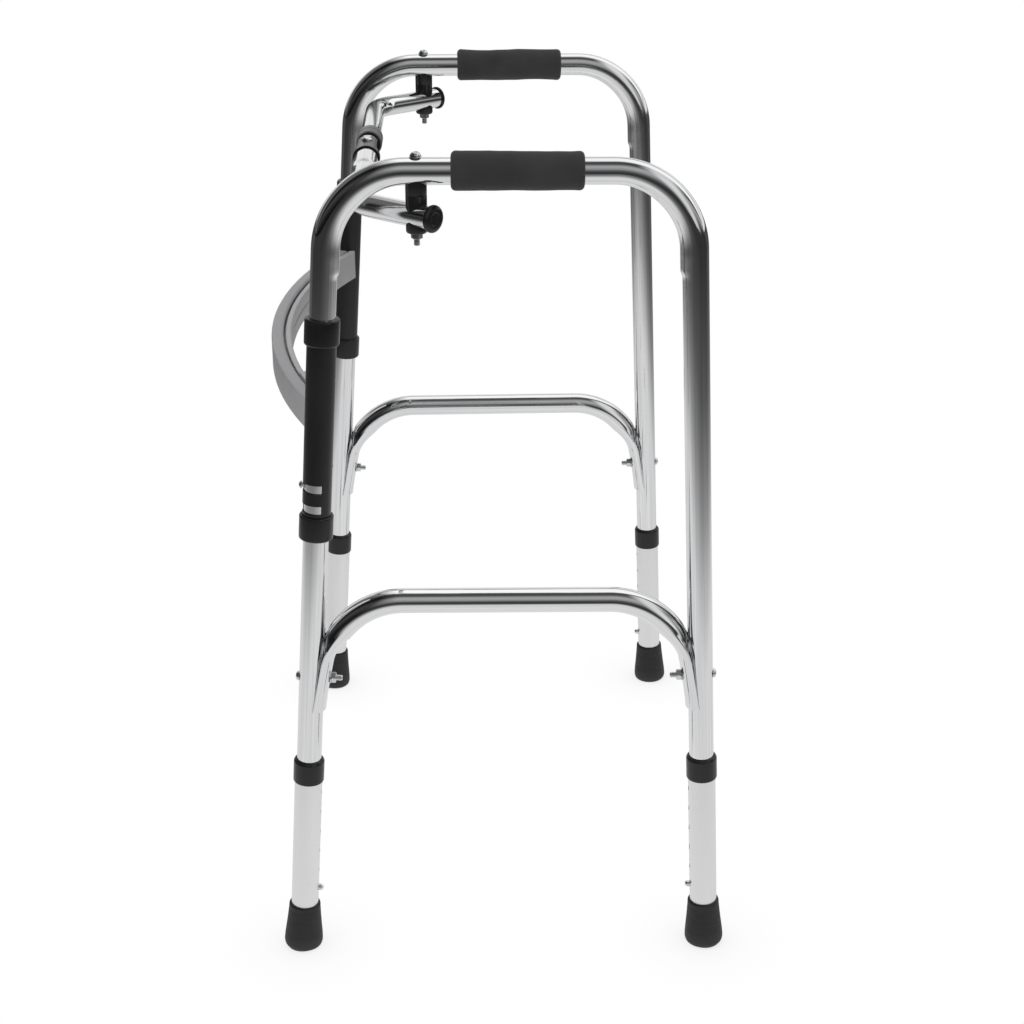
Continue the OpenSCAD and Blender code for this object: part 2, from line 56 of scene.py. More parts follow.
TUBE_R = 12.7 * MM            # side frame tube
BAR_R = 11.1 * MM             # cross bar tube
SLEEVE_R = 14.3 * MM
EXT_R = 14.3 * MM             # leg extension
BOLT_R = 3 * MM
NUT_R = 5.77 * MM             # to a corner
NUT_T = 5 * MM
BOLT_PAST_NUT = 7 * MM
WASHER_R = 6 * MM
FIT = 0.05 * MM               # clearance between parts that touch
BRACE_LEVEL = 400 * MM        # heights where the directions of a side frame are measured
HANDLE_LEVEL = 800 * MM

joints = {j["name"]: j for j in frame["joints"]}


# ---------------- places from the frame

def across(direction):
    """Two directions at right angles to one another and to the given one."""
    first = direction.orthogonal().normalized()
    return first, direction.cross(first).normalized()


def axis_of(node, direction):
    """The two ends of a round node's middle line, in the given direction."""
    points = [v.co for v in frame["nodes"][node].data.vertices]
    first, second = across(direction)
    centre = Vector()
    for way in (first, second):
        spread = [p.dot(way) for p in points]
        centre += way * (min(spread) + max(spread)) / 2
    along = [p.dot(direction) for p in points]
    return centre + direction * min(along), centre + direction * max(along)


def meet(p, u, q, v):
    """The middle of the shortest link between two lines."""
    n = u.cross(v)
    s = (q - p).cross(v).dot(n) / n.length_squared
    t = (q - p).cross(u).dot(n) / n.length_squared
    return (p + u * s + q + v * t) / 2


def leg_line(side, end):
    """The bottom of a leg extension and the direction up the leg."""
    up = -Vector(joints[f"{end}_{side}_height"]["axis"]).normalized()
    low, _ = axis_of(f"{end}_{side}_extension", up)
    return low, up


legs = {(s, e): leg_line(s, e) for s in SIDES for e in ENDS}


def leg_point(side, end, height):
    """The point of a leg's axis at a height above the floor."""
    low, up = legs[side, end]
    return low + up * ((height - low.z) / up.z)


def across_frame(side, height):
    """The direction from the front leg to the rear leg of one side frame."""
    gap = leg_point(side, "rear", height) - leg_point(side, "front", height)
    return gap.normalized()


def out_of_frame(side):
    """The outward normal of a side frame's plane."""
    _, up = legs[side, "front"]
    normal = across_frame(side, BRACE_LEVEL).cross(up).normalized()
    return normal if normal.x * (1 if side == "left" else -1) > 0 else -normal


# ---------------- building meshes

def round_corners(outline, closed, steps=5):
    """Rounds the corners of an outline of (x, y, bevel radius) points."""
    made = []
    count = len(outline)
    for i, (x, y, bevel) in enumerate(outline):
        here = Vector((x, y))
        if bevel == 0 or (not closed and i in (0, count - 1)):
            made.append(here)
            continue
        before = Vector(outline[i - 1][:2]) - here
        after = Vector(outline[(i + 1) % count][:2]) - here
        reach = min(bevel, before.length * 0.49, after.length * 0.49)
        start = here + before.normalized() * reach
        end = here + after.normalized() * reach
        for k in range(steps + 1):
            t = k / steps
            made.append(start.lerp(here, t).lerp(here.lerp(end, t), t))
    return made


def skin(rings, closed_ring=True, caps=True, loop=False):
    """Points and faces over a list of rings with equal numbers of points."""
    size = len(rings[0])
    points = [p for ring in rings for p in ring]
    faces = []
    steps = len(rings) if loop else len(rings) - 1
    across_count = size if closed_ring else size - 1
    for i in range(steps):
        a, b = i * size, ((i + 1) % len(rings)) * size
        for j in range(across_count):
            k = (j + 1) % size
            faces.append((a + j, a + k, b + k, b + j))
    if caps and not loop:
        faces.append(tuple(range(size))[::-1])
        faces.append(tuple((len(rings) - 1) * size + j for j in range(size)))
    return points, faces


def lathe(origin, axis, outline, solid=True, segments=56):
    """A turned shape: (radius, distance along the axis, bevel radius) points in metres.

    A solid shape's outline starts and ends on the axis; a hollow one's is closed.
    """
    first, second = across(axis)
    outline = round_corners(outline, closed=not solid)
    rings = []
    for j in range(segments):
        angle = 2 * math.pi * j / segments
        out = first * math.cos(angle) + second * math.sin(angle)
        rings.append([origin + axis * t + out * max(r, 1e-6) for r, t in outline])
    return skin(rings, closed_ring=not solid, caps=False, loop=True)


def hex_nut(origin, axis):
    """A nut with chamfered corners and a round bore."""
    sides, bevel, bore = 6, 0.35 * MM, BOLT_R + FIT
    blunted = NUT_R * 0.995                     # the corners are taken off very slightly
    chamfer_slope = 0.55
    first, second = across(axis)
    rings = []
    segments = sides * 12
    flat = NUT_R * math.cos(math.pi / sides)
    for j in range(segments):
        angle = 2 * math.pi * j / segments
        turn = (angle + math.pi / sides) % (2 * math.pi / sides) - math.pi / sides
        rim = min(flat / math.cos(turn), blunted)
        corner = max(0.0, rim - flat) * chamfer_slope + bevel
        out = first * math.cos(angle) + second * math.sin(angle)
        stops = ((bore, bevel), (bore + bevel, 0), (flat - bevel, 0), (rim, corner),
                 (rim, NUT_T - corner), (flat - bevel, NUT_T), (bore + bevel, NUT_T),
                 (bore, NUT_T - bevel))
        rings.append([origin + axis * t + out * r for r, t in stops])
    return skin(rings, caps=False, loop=True)


def washer(origin, axis, thick):
    """A washer round a bolt; its bore is left out, since the bolt fills it."""
    return lathe(origin, axis, [(0, 0, 0), (WASHER_R, 0, 0.2 * MM), (WASHER_R, thick, 0.3 * MM),
                                (0, thick, 0)])


def bolt_end(origin, axis):
    """The end of a bolt through its nut, with rings for its thread and a chamfered tip."""
    pitch, depth, chamfer = 1 * MM, 0.35 * MM, 0.8 * MM
    length = NUT_T + BOLT_PAST_NUT
    root = BOLT_R - depth
    outline = [(0, 0, 0)]
    t = 0.0
    while t < length - 1.5 * pitch:
        outline += [(BOLT_R, t + 0.1 * pitch, 0), (BOLT_R, t + 0.35 * pitch, 0),
                    (root, t + 0.6 * pitch, 0), (root, t + 0.8 * pitch, 0)]
        t += pitch
    outline += [(BOLT_R, t, 0), (BOLT_R - chamfer, length, 0), (0, length, 0)]
    return lathe(origin, axis, outline, segments=28)


def fillet_path(points, bend_r, step=math.radians(3)):
    """Samples of (place, direction) along straight runs joined by round bends."""
    samples = []
    for i, here in enumerate(points):
        if i == 0:
            samples.append((here, (points[1] - here).normalized()))
            continue
        back = (here - points[i - 1]).normalized()
        if i == len(points) - 1:
            samples.append((here, back))
            continue
        ahead = (points[i + 1] - here).normalized()
        turn = back.angle(ahead)
        reach = bend_r * math.tan(turn / 2)
        start = here - back * reach
        side = (ahead - back * back.dot(ahead)).normalized()
        centre = start + side * bend_r
        count = max(2, int(turn / step))
        for k in range(count + 1):
            angle = turn * k / count
            arm = -side * math.cos(angle) + back * math.sin(angle)
            way = back * math.cos(angle) + side * math.sin(angle)
            samples.append((centre + arm * bend_r, way))
    return samples


def refine(samples, longest):
    """Adds samples along straight runs so that no two are further apart than `longest`."""
    made = [samples[0]]
    for place, way in samples[1:]:
        before, before_way = made[-1]
        count = max(1, math.ceil((place - before).length / longest))
        for k in range(1, count + 1):
            t = k / count
            made.append((before.lerp(place, t), before_way.lerp(way, t).normalized()))
    return made


def sweep(samples, flat, section, segments=48):
    """Rings along a path that lies in a plane with normal `flat`.

    section(place, way, angle) gives (outwards, along the normal) in metres.
    """
    rings = []
    for place, way in samples:
        out = way.cross(flat).normalized()
        ring = []
        for j in range(segments):
            x, y = section(place, way, 2 * math.pi * j / segments)
            ring.append(place + out * x + flat * y)
        rings.append(ring)
    return rings


def tube_uvs(mesh, rings):
    """Lays u round the tube and v along it, both in metres."""
    size = len(rings[0])
    run = [0.0]
    for i in range(1, len(rings)):
        run.append(run[-1] + (rings[i][0] - rings[i - 1][0]).length)
    girth = sum((rings[0][j] - rings[0][j - 1]).length for j in range(size))
    layer = mesh.uv_layers.new(name="along").data
    for face in mesh.polygons:
        columns = [mesh.loops[k].vertex_index % size for k in face.loop_indices]
        wraps = max(columns) - min(columns) > size / 2
        for k, column in zip(face.loop_indices, columns):
            row = mesh.loops[k].vertex_index // size
            column = column + size if wraps and column < size / 2 else column
            layer[k].uv = (girth * column / size, run[min(row, len(run) - 1)])


def shade(mesh, sharp_deg):
    """Smooth shading, with edges sharper than the angle left crisp."""
    work = bmesh.new()
    work.from_mesh(mesh)
    bmesh.ops.remove_doubles(work, verts=work.verts, dist=2e-7)
    bmesh.ops.recalc_face_normals(work, faces=work.faces)
    for face in work.faces:
        face.smooth = True
    limit = math.radians(sharp_deg)
    for edge in work.edges:
        if len(edge.link_faces) == 2 and edge.calc_face_angle(0) > limit:
            edge.smooth = False
    work.to_mesh(mesh)
    work.free()


def add(name, data):
    """A new object in the scene."""
    obj = bpy.data.objects.new(name, data)
    bpy.context.scene.collection.objects.link(obj)
    return obj


def piece(name, parts, material, body, replaced, sharp_deg=40):
    """One object from a list of (points, faces), in place of a CAD node.

    The material is looked up by its name, and the CAD node is hidden.
    """
    points, faces = [], []
    for part_points, part_faces in parts:
        start = len(points)
        points += part_points
        faces += [tuple(start + i for i in face) for face in part_faces]
    mesh = bpy.data.meshes.new(name)
    mesh.from_pydata(points, [], faces)
    mesh.update()
    shade(mesh, sharp_deg)
    mesh.materials.append(MATERIALS[material])
    obj = add(name, mesh)
    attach(obj, body)
    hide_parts(replaced)
    return obj


def tube_piece(name, rings, body, replaced, sharp_deg=40):
    """A polished tube skinned over its rings, with a layout for its drawn lines."""
    obj = piece(name, [skin(rings)], "polished_tube", body, replaced, sharp_deg)
    tube_uvs(obj.data, rings)


# ---------------- materials
# Noise scales are per metre. Along a tube they are given round it, then along it.

def node(tree, kind, **inputs):
    """A shader node with some of its inputs set."""
    made = tree.nodes.new(kind)
    for key, value in inputs.items():
        made.inputs[key.replace("_", " ")].default_value = value
    return made


def new_material(name, color, roughness, metallic=0.0):
    """A material with its node tree and its main shader."""
    material = bpy.data.materials.new(name)
    material.use_nodes = True
    tree = material.node_tree
    shader = tree.nodes["Principled BSDF"]
    shader.inputs["Base Color"].default_value = (*color, 1)
    shader.inputs["Roughness"].default_value = roughness
    shader.inputs["Metallic"].default_value = metallic
    return material, tree, shader


def coordinates(tree, stretch, uv=False):
    """Object coordinates (or the along-tube layout), stretched by a scale per axis."""
    source = node(tree, "ShaderNodeTexCoord")
    mapping = node(tree, "ShaderNodeMapping", Scale=stretch)
    tree.links.new(source.outputs["UV" if uv else "Object"], mapping.inputs["Vector"])
    return mapping.outputs["Vector"]


def split(tree, vector):
    """The x, y and z outputs of a vector."""
    parts = node(tree, "ShaderNodeSeparateXYZ")
    tree.links.new(vector, parts.inputs["Vector"])
    return [parts.outputs[axis] for axis in "XYZ"]


def marks(tree, scales, detail=3.0, roughness=0.5, uv=False):
    """Noise with a scale per axis."""
    made = node(tree, "ShaderNodeTexNoise", Scale=1.0, Detail=detail, Roughness=roughness)
    tree.links.new(coordinates(tree, scales, uv), made.inputs["Vector"])
    return made.outputs["Fac"]


def remap(tree, value, low, high, from_low=0.3, from_high=0.7):
    """Maps a value, by default the middle range of a noise, onto low to high."""
    made = node(tree, "ShaderNodeMapRange")
    made.inputs["From Min"].default_value = from_low
    made.inputs["From Max"].default_value = from_high
    made.inputs["To Min"].default_value = low
    made.inputs["To Max"].default_value = high
    tree.links.new(value, made.inputs["Value"])
    return made.outputs["Result"]


def tint(tree, shader, value, dark, light):
    """Colours the shader between two colours by a value from 0 to 1."""
    mix = tree.nodes.new("ShaderNodeMix")
    mix.data_type = "RGBA"
    mix.inputs["A"].default_value = (*dark, 1)
    mix.inputs["B"].default_value = (*light, 1)
    tree.links.new(value, mix.inputs["Factor"])
    tree.links.new(mix.outputs["Result"], shader.inputs["Base Color"])


def bump(tree, shader, height, distance, strength=1.0):
    """Adds a bump to the shader, on top of the bumps it already has."""
    made = node(tree, "ShaderNodeBump", Strength=strength, Distance=distance)
    tree.links.new(height, made.inputs["Height"])
    previous = shader.inputs["Normal"].links
    if previous:
        tree.links.new(previous[0].from_socket, made.inputs["Normal"])
    tree.links.new(made.outputs["Normal"], shader.inputs["Normal"])


def polished_metal():
    """Polished tube: drawn lines along the tube, faint handling marks and smears."""
    material, tree, shader = new_material("polished_tube", (0.9, 0.905, 0.915), 0.08, 1.0)
    lines = marks(tree, (900, 12, 1), 4.0, uv=True)
    ripple = marks(tree, (260, 1.6, 1), uv=True)
    smear = marks(tree, (9, 9, 5), 4.0)
    tree.links.new(remap(tree, smear, 0.05, 0.15), shader.inputs["Roughness"])
    streaks = marks(tree, (330, 2.5, 1), 5.0, 0.65, uv=True)
    tint(tree, shader, remap(tree, streaks, 0.0, 1.0), (0.74, 0.745, 0.76), (0.96, 0.96, 0.965))
    bump(tree, shader, lines, 0.004 * MM)
    bump(tree, shader, ripple, 0.12 * MM)
    return material


def satin_metal():
    """Satin anodised extension: fine brushing along the tube and duller handling marks."""
    material, tree, shader = new_material("satin_extension", (0.9, 0.9, 0.9), 0.3, 1.0)
    grain = marks(tree, (1400, 1400, 16))
    handling = marks(tree, (35, 35, 18), 5.0, 0.6)
    tree.links.new(remap(tree, handling, 0.26, 0.4), shader.inputs["Roughness"])
    tint(tree, shader, remap(tree, handling, 0.0, 1.0), (0.87, 0.87, 0.872), (0.94, 0.94, 0.94))
    bump(tree, shader, grain, 0.01 * MM, 0.7)
    return material


def moulded_plastic(name, color, rough, grain_scale):
    """Moulded plastic: a fine grain, slight gloss and a little dust."""
    material, tree, shader = new_material(name, color, rough)
    grain = marks(tree, (grain_scale,) * 3, 2.0)
    dust = marks(tree, (22, 22, 22), 5.0, 0.6)
    tree.links.new(remap(tree, dust, rough - 0.07, rough + 0.09), shader.inputs["Roughness"])
    light = tuple(c * 1.5 + 0.002 for c in color)
    tint(tree, shader, remap(tree, dust, 0.0, 1.0), color, light)
    bump(tree, shader, grain, 0.03 * MM, 0.6)
    shader.inputs["Specular IOR Level"].default_value = 0.4
    return material


def powder_coat(name, dark, light, rough):
    """Powder coat: an orange-peel surface with faint cloudy wear."""
    material, tree, shader = new_material(name, dark, rough)
    peel = marks(tree, (700,) * 3)
    wear = marks(tree, (14, 14, 9), 5.0, 0.6)
    tint(tree, shader, remap(tree, wear, 0.0, 1.0), dark, light)
    tree.links.new(remap(tree, wear, rough - 0.06, rough + 0.08), shader.inputs["Roughness"])
    bump(tree, shader, peel, 0.05 * MM, 0.8)
    return material


def foam():
    """Closed-cell foam: matte, with small pores and paler scuffed skin."""
    material, tree, shader = new_material("grip_foam", (0.03, 0.03, 0.031), 0.85)
    pores = node(tree, "ShaderNodeTexVoronoi", Scale=1100.0)
    tree.links.new(coordinates(tree, (1, 1, 1)), pores.inputs["Vector"])
    skin_noise = marks(tree, (260,) * 3, 4.0, 0.65)
    patches = marks(tree, (28, 28, 28), 4.0)
    tint(tree, shader, remap(tree, patches, 0.0, 1.0), (0.017, 0.017, 0.018),
         (0.028, 0.028, 0.029))
    tree.links.new(remap(tree, patches, 0.78, 0.92), shader.inputs["Roughness"])
    bump(tree, shader, pores.outputs["Distance"], 0.12 * MM, 0.5)
    bump(tree, shader, skin_noise, 0.2 * MM, 0.5)
    shader.inputs["Sheen Weight"].default_value = 0.08
    shader.inputs["Sheen Roughness"].default_value = 0.5
    return material


def moulded_rubber():
    """Moulded rubber tip: matte, with fine flow marks round it and dust at the foot."""
    material, tree, shader = new_material("tip_rubber", (0.026, 0.026, 0.027), 0.6)
    flow = marks(tree, (60, 60, 420))
    grain = marks(tree, (800,) * 3, 2.0)
    place = node(tree, "ShaderNodeNewGeometry").outputs["Position"]
    dust = remap(tree, split(tree, place)[2], 1.0, 0.0, 0.0, 18 * MM)
    tint(tree, shader, dust, (0.01, 0.01, 0.0105), (0.022, 0.0215, 0.02))
    tree.links.new(remap(tree, flow, 0.52, 0.68), shader.inputs["Roughness"])
    bump(tree, shader, flow, 0.05 * MM, 0.4)
    bump(tree, shader, grain, 0.03 * MM, 0.6)
    return material


def plated_steel(name, rough, color):
    """Zinc or chrome plating: slight cloudiness and fine turning marks."""
    material, tree, shader = new_material(name, color, rough, 1.0)
    cloud = marks(tree, (160, 160, 160))
    grain = marks(tree, (2500,) * 3, 2.0)
    tree.links.new(remap(tree, cloud, rough * 0.7, rough * 1.5), shader.inputs["Roughness"])
    tint(tree, shader, remap(tree, cloud, 0.0, 1.0), tuple(c * 0.85 for c in color), color)
    bump(tree, shader, grain, 0.006 * MM, 0.6)
    return material


MATERIALS = {
    "polished_tube": polished_metal(),
    "satin_extension": satin_metal(),
    "black_plastic": moulded_plastic("black_plastic", (0.006, 0.006, 0.0065), 0.26, 900.0),
    "black_sleeve": powder_coat("black_sleeve", (0.004, 0.004, 0.0045), (0.008, 0.008, 0.0085),
                                0.3),
    "grey_cover": powder_coat("grey_cover", (0.2, 0.2, 0.207), (0.24, 0.24, 0.247), 0.4),
    "grey_bar": powder_coat("grey_bar", (0.25, 0.25, 0.257), (0.3, 0.3, 0.307), 0.35),
    "hinge_grey": moulded_plastic("hinge_grey", (0.07, 0.07, 0.073), 0.35, 1100.0),
    "grip_foam": foam(),
    "tip_rubber": moulded_rubber(),
    "zinc_fastener": plated_steel("zinc_fastener", 0.2, (0.78, 0.79, 0.8)),
    "bright_button": plated_steel("bright_button", 0.1, (0.88, 0.88, 0.89)),
    "spring_steel": plated_steel("spring_steel", 0.3, (0.5, 0.52, 0.54)),
}


# ---------------- side frames

def handle_line(side):
    """The front end of the grip on the handle's axis, and the direction to the rear."""
    way = across_frame(side, HANDLE_LEVEL)
    low, _ = axis_of(f"{side}_grip", way)
    return low, way


TOP_BEND_R = 77 * MM
TUBE_END_H = 50 * MM          # the frame tube ends inside its extension
BEND_SWELL = 1.8 * MM
BEND_SWELL_RUN = 24 * MM      # how far the fuller part runs on down the leg
BEND_SWELL_STEP = 5 * MM      # how quickly it ends there
BEND_REACH = 0.98             # from a bend's corner to its end, in bend radii


def side_tube(side):
    """One side frame's tube: up the front leg, along the handle and down the rear leg."""
    on_handle, way = handle_line(side)
    tops = [meet(*legs[side, e], on_handle, way) for e in ENDS]
    feet = [leg_point(side, e, TUBE_END_H) for e in ENDS]
    path = refine(fillet_path([feet[0], tops[0], tops[1], feet[1]], TOP_BEND_R), 3 * MM)
    flat = out_of_frame(side)
    run = (tops[1] - tops[0]).normalized()
    bend_feet = [top + (foot - top).normalized() * TOP_BEND_R * BEND_REACH
                 for top, foot in zip(tops, feet)]
    inner = 1 if path[0][1].cross(flat).dot(run) > 0 else -1

    def section(place, along, angle):
        end = 0 if (place - tops[0]).length < (place - tops[1]).length else 1
        up = (tops[end] - feet[end]).normalized()
        leg_way = up if end == 0 else -up
        turned = along.angle(leg_way)
        whole = run.angle(leg_way)
        above = BEND_SWELL_RUN + (place - bend_feet[end]).dot(up)
        # the press leaves the inside of each bend fuller, with a small step on the leg below
        full = ease(above, 0.0, BEND_SWELL_STEP)
        full *= 1 - ease(turned, 0.4 * whole, 0.95 * whole)
        # the fuller part narrows as it runs down the leg: a higher power is narrower
        power = 1.2 + 2.5 * (1 - ease(above, 0.0, BEND_SWELL_RUN))
        swell = BEND_SWELL * full * max(0.0, math.cos(angle) * inner) ** power
        return (TUBE_R + swell) * math.cos(angle), (TUBE_R + 0.3 * swell) * math.sin(angle)

    rings = sweep(path, flat, section, 72)
    tube_piece(f"{side}_frame_tube", rings, f"{side}_side", f"{side}_side_tube")


BRACE_R = 12.5 * MM
BRACE_BEND_R = 78 * MM
BRACE_END_H = 284 * MM
BRACE_AXIS_H = 404 * MM
BRACE_OFFSET = TUBE_R + 3.8 * MM    # from a leg's axis to the middle of the flattened end
SADDLE_SHAPE = (                # height, half angle round the leg, thickness
    (BRACE_END_H, 78, 2.8 * MM),
    (300 * MM, 70, 4.2 * MM),
    (321 * MM, 61, 6.6 * MM),
    (345 * MM, 52, 10 * MM),
    (372 * MM, 44, 16 * MM),
)
ROUND_FROM = 338 * MM           # the tube starts to leave its flattened shape
ROUND_BY = 378 * MM             # and is round
SADDLE_GAP = 0.15 * MM
SADDLE_BULGE = 0.6              # below 1 makes the flattened section fuller


def between(table, x, column):
    """Straight-line value of a table's column at x, held at its ends."""
    if x <= table[0][0]:
        return table[0][column]
    for low, high in zip(table, table[1:]):
        if x <= high[0]:
            t = (x - low[0]) / (high[0] - low[0])
            return low[column] * (1 - t) + high[column] * t
    return table[-1][column]


def ease(x, low, high):
    """A smooth step from 0 at low to 1 at high."""
    t = min(1.0, max(0.0, (x - low) / (high - low)))
    return t * t * (3 - 2 * t)


def brace_tube(side):
    """The bent brace; towards its ends it flattens and hugs the legs."""
    normal = out_of_frame(side)
    run = across_frame(side, BRACE_AXIS_H)
    ends, tops = [], []
    for end, inward in (("front", run), ("rear", -run)):
        ends.append(leg_point(side, end, BRACE_END_H) + inward * BRACE_OFFSET)
        tops.append(leg_point(side, end, BRACE_AXIS_H) + inward * BRACE_OFFSET)
    path = fillet_path([ends[0], tops[0], tops[1], ends[1]], BRACE_BEND_R)
    samples = refine(path, 4 * MM)
    middle = (ends[0] + ends[1]) / 2
    segments = 64
    rings = []
    facing = 1 if samples[0][1].cross(normal).dot(run) > 0 else -1
    for place, way in samples:
        end = "front" if (place - middle).dot(run) < 0 else "rear"
        inward = run if end == "front" else -run
        low, up = legs[side, end]
        axis = low + up * (place - low).dot(up)
        flat = 1 - ease(place.z, ROUND_FROM, ROUND_BY)
        spread = math.radians(between(SADDLE_SHAPE, place.z, 1))
        thick = between(SADDLE_SHAPE, place.z, 2)
        away = (inward - up * inward.dot(up)).normalized()
        out = way.cross(normal).normalized() * facing
        ring = []
        for j in range(segments):
            angle = 2 * math.pi * j / segments
            c, s = math.cos(angle), math.sin(angle)
            around = math.asin(s) / (math.pi / 2) * spread
            bulge = math.copysign(abs(c) ** SADDLE_BULGE, c)
            radius = TUBE_R + SADDLE_GAP + thick / 2 + thick / 2 * bulge
            hug = axis + (away * math.cos(around) + normal * math.sin(around)) * radius
            tube = place + out * c * BRACE_R + normal * s * BRACE_R
            ring.append(tube.lerp(hug, flat))
        rings.append(ring)
    tube_piece(f"{side}_brace_tube", rings, f"{side}_side", f"{side}_brace", sharp_deg=50)


BRACE_BOLT_H = 321 * MM
HEAD_R = 5 * MM
HEAD_T = 4 * MM
BRACE_WASHER_T = 1.2 * MM


def dome_head(origin, axis):
    """A domed head with a small collar under it."""
    return lathe(origin, axis, [(0, 0, 0), (HEAD_R, 0, 0.3 * MM), (HEAD_R, 0.9 * MM, 0.5 * MM),
                                (HEAD_R * 0.86, HEAD_T * 0.62, 1.6 * MM),
                                (HEAD_R * 0.5, HEAD_T * 0.95, 1.4 * MM), (0, HEAD_T, 0)])


def brace_fasteners(side):
    """A bolt through each leg and the brace's end: head outside, washer and nut inside."""
    face = TUBE_R + between(SADDLE_SHAPE, BRACE_BOLT_H, 2)
    sink = 0.5 * MM
    bolts, nuts = [], []
    for end in ENDS:
        low, up = legs[side, end]
        inward = across_frame(side, BRACE_BOLT_H) * (1 if end == "front" else -1)
        inward = (inward - up * inward.dot(up)).normalized()
        on_axis = low + up * (BRACE_BOLT_H - low.z)
        washer_at = face - BRACE_WASHER_T / 2
        bolts.append(dome_head(on_axis - inward * (TUBE_R - sink), -inward))
        bolts.append(bolt_end(on_axis + inward * face, inward))
        nuts.append(washer(on_axis + inward * washer_at, inward, BRACE_WASHER_T))
        nuts.append(hex_nut(on_axis + inward * (washer_at + BRACE_WASHER_T), inward))
    piece(f"{side}_brace_bolt_pair", bolts, "zinc_fastener", f"{side}_side",
          f"{side}_brace_bolts")
    piece(f"{side}_brace_nut_pair", nuts, "zinc_fastener", f"{side}_side", f"{side}_brace_nuts")


GRIP_R = 18.4 * MM
GRIP_BORE_R = TUBE_R + 0.1 * MM
GRIP_WAIST = 0.9 * MM           # how much slimmer the middle is
GRIP_SOFT = 5 * MM              # roundness of the ends
GRIP_UNEVEN = ((1.1 * MM, 24), (0.3 * MM, 75))    # depth, and waves per metre


def grip_outline(length):
    """(radius, distance along) points from the front bore over the rim to the rear bore."""
    lip, lip_in = 1.5 * MM, 0.2 * MM
    turns = [math.pi / 2 * k / 8 for k in range(9)]
    front = [(GRIP_R - GRIP_SOFT + GRIP_SOFT * math.sin(a), GRIP_SOFT - GRIP_SOFT * math.cos(a))
             for a in turns]
    middle = [(GRIP_R, GRIP_SOFT + (length - 2 * GRIP_SOFT) * k / 40) for k in range(1, 40)]
    rear = [(radius, length - t) for radius, t in reversed(front)]
    front_bore = [(GRIP_BORE_R, 1.2 * MM), (GRIP_BORE_R + lip, lip_in)]
    rear_bore = [(radius, length - t) for radius, t in reversed(front_bore)]
    return front_bore + front + middle + rear + rear_bore


def foam_grip(side):
    """A foam sleeve: slightly waisted, with soft ends and an uneven surface."""
    way = across_frame(side, HANDLE_LEVEL)
    low, high = axis_of(f"{side}_grip", way)
    length = (high - low).length
    first, second = across(way)
    segments = 72
    rings = []
    for radius, t in grip_outline(length):
        pinch = GRIP_WAIST * math.sin(math.pi * t / length) ** 0.7
        share = (radius - GRIP_BORE_R) / (GRIP_R - GRIP_BORE_R)
        ring = []
        for j in range(segments):
            angle = 2 * math.pi * j / segments
            out = first * math.cos(angle) + second * math.sin(angle)
            where = low + way * t + out * radius
            uneven = sum(depth * noise.noise(where * waves) for depth, waves in GRIP_UNEVEN)
            ring.append(where + out * share * (uneven - pinch))
        rings.append(ring)
    rings.append(rings[0])
    piece(f"{side}_foam_grip", [skin(rings, caps=False)], "grip_foam", f"{side}_side",
          f"{side}_grip", sharp_deg=60)


# ---------------- cross bar

def pivot_line(side):
    """Where the pivot's axis crosses the bar's height, and the axis, pointing up."""
    joint = joints[f"{side}_bar_pivot"]
    axis = Vector(joint["axis"]).normalized()
    return Vector(joint["pos_m"]), axis if axis.z > 0 else -axis


BAR_PAST_PIVOT = 19 * MM


def bar_corners(side):
    """The bar half's middle line: inner end, bend, outer end."""
    pivot, _ = pivot_line(side)
    low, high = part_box(f"{side}_bar_cap")
    cap = (low + high) / 2
    way = Vector((cap.x - pivot.x, cap.y - pivot.y, 0)).normalized()
    low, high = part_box("hinge_ring")
    bar_y, bar_z = (low.y + high.y) / 2, (low.z + high.z) / 2
    pivot = Vector((pivot.x, pivot.y, bar_z))
    bend = pivot + way * ((bar_y - pivot.y) / way.y)
    low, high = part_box(f"{side}_bar_tube")
    inner = Vector((low.x if side == "left" else high.x, bar_y, bar_z))
    outer = pivot + way * BAR_PAST_PIVOT
    return inner, bend, outer


BAR_BEND_R = 50 * MM
FLARE_R = 12.7 * MM             # the left half is wider beside the hinge
FLARE_TO = 50 * MM
FLARE_TAPER = 9 * MM
CAP_R = BAR_R + 1.9 * MM


def bar_tube(side):
    """One half of the cross bar and the cap on its outer end."""
    inner, bend, outer = bar_corners(side)
    path = refine(fillet_path([inner, bend, outer], BAR_BEND_R), 4 * MM)
    wide = FLARE_R if side == "left" else BAR_R

    def section(place, _, angle):
        slim = ease((place - inner).length, FLARE_TO, FLARE_TO + FLARE_TAPER)
        radius = wide + (BAR_R - wide) * slim
        return radius * math.cos(angle), radius * math.sin(angle)

    rings = sweep(path, Vector((0, 0, 1)), section, 56)
    tube_piece(f"{side}_cross_bar", rings, f"{side}_bar", f"{side}_bar_tube")
    way = (outer - bend).normalized()
    cap = lathe(outer - way * 0.3 * MM, way,
                [(0, 0, 0), (CAP_R, 0, 0.8 * MM), (CAP_R, 3 * MM, 1.4 * MM),
                 (BAR_R - 1 * MM, 4.7 * MM, 2.5 * MM), (BAR_R * 0.6, 4.9 * MM, 0.3 * MM),
                 (BAR_R * 0.55, 4.6 * MM, 0.3 * MM), (0, 4.5 * MM, 0)])
    piece(f"{side}_end_cap", [cap], "black_plastic", f"{side}_bar", f"{side}_bar_cap")


SPACER_R = 10 * MM
SPACER_GAP = 0.1 * MM
SPACER_BEVEL = 0.3 * MM
UNDER_BEVEL = 2.2 * MM
HANDLE_CUP = 6.5 * MM           # how near the cups come to the middle of their tubes
BAR_CUP = 4 * MM


